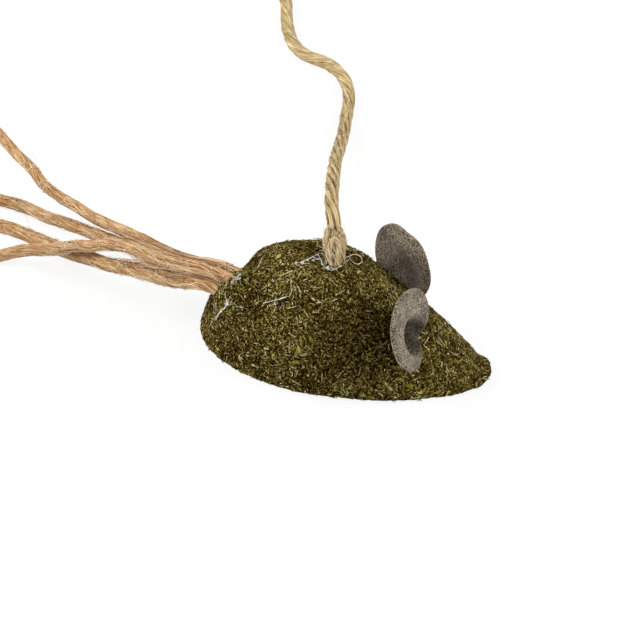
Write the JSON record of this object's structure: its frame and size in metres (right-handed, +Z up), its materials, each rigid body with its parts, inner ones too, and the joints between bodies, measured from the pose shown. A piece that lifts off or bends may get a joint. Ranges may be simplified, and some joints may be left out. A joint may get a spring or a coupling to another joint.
{
  "type": "cat teaser wand",
  "caption": "Cat teaser: a pressed catnip mouse with felt ears and a frayed jute tail, on a coiled jute cord knotted through the tip of a plain wooden stick.",
  "frame": {"origin": "middle of the mouse's flat belly, on the surface that the toy lies on", "axes": "+X towards the mouse's nose and along the stick to its butt, +Y to the mouse's left, +Z up"},
  "size_m": [0.2488, 0.2288, 0.031],
  "materials": {
    "catnip": "rough pressed dried leaf and stem, matte",
    "felt": "grey-brown felt, matte with a short nap",
    "jute_cord": "twisted natural jute, matte",
    "jute_tail": "loose natural jute strand, matte and hairy",
    "glue": "cloudy hot-melt glue, satin",
    "wood": "plain sanded dowel"
  },
  "bodies": {
    "mouse": {"catnip_body": "catnip", "ear_glue_left": "glue", "ear_glue_right": "glue", "tail_glue": "glue", "cord_anchor": "jute_cord", "cord_knot": "jute_cord", "cord_glue": "glue"},
    "ear_left": {"ear_left": "felt"},
    "ear_right": {"ear_right": "felt"},
    "tail_1": {"tail_strand_1": "jute_tail"},
    "tail_2": {"tail_strand_2": "jute_tail"},
    "tail_3": {"tail_strand_3": "jute_tail"},
    "tail_4": {"tail_strand_4": "jute_tail"},
    "cord": {"cord_run": "jute_cord", "cord_coil": "jute_cord", "coil_tie": "jute_cord", "cord_lead": "jute_cord", "wand_knot": "jute_cord", "cord_end": "jute_cord"},
    "wand": {"wand_stick": "wood"}
  },
  "joints": [
    {"name": "cord_lift", "type": "hinge", "parent": "mouse", "child": "cord", "pos_m": [-0.0059, 0.003, 0.0285], "axis": [1, 0, 0], "range_deg": [0, 120], "deforming": ["cord_run"]},
    {"name": "wand_lift", "type": "hinge", "parent": "cord", "child": "wand", "pos_m": [-0.0764, 0.1892, 0.004], "axis": [0, -1, 0], "range_deg": [0, 170]},
    {"name": "ear_left_flex", "type": "hinge", "parent": "mouse", "child": "ear_left", "pos_m": [0.0132, 0.0046, 0.0129], "axis": [-0.4766, 0.4119, -0.7767], "range_deg": [-25, 25], "stiffness_Nm_per_rad": 0.0005, "deforming": ["ear_left"]},
    {"name": "ear_right_flex", "type": "hinge", "parent": "mouse", "child": "ear_right", "pos_m": [0.0154, -0.0054, 0.011], "axis": [-0.0362, 0.7542, 0.6556], "range_deg": [-25, 25], "stiffness_Nm_per_rad": 0.0005, "deforming": ["ear_right"]},
    {"name": "tail_1_swish", "type": "hinge", "parent": "mouse", "child": "tail_1", "pos_m": [-0.0262, -0.0018, 0.0144], "axis": [0, 0, 1], "range_deg": [-25, 25], "stiffness_Nm_per_rad": 0.001, "deforming": ["tail_strand_1"]},
    {"name": "tail_2_swish", "type": "hinge", "parent": "mouse", "child": "tail_2", "pos_m": [-0.0262, -0.0018, 0.0144], "axis": [0, 0, 1], "range_deg": [-25, 25], "stiffness_Nm_per_rad": 0.001, "deforming": ["tail_strand_2"]},
    {"name": "tail_3_swish", "type": "hinge", "parent": "mouse", "child": "tail_3", "pos_m": [-0.0262, -0.0018, 0.0144], "axis": [0, 0, 1], "range_deg": [-25, 25], "stiffness_Nm_per_rad": 0.001, "deforming": ["tail_strand_3"]},
    {"name": "tail_4_swish", "type": "hinge", "parent": "mouse", "child": "tail_4", "pos_m": [-0.0262, -0.0018, 0.0144], "axis": [0, 0, 1], "range_deg": [-25, 25], "stiffness_Nm_per_rad": 0.001, "deforming": ["tail_strand_4"]}
  ]
}
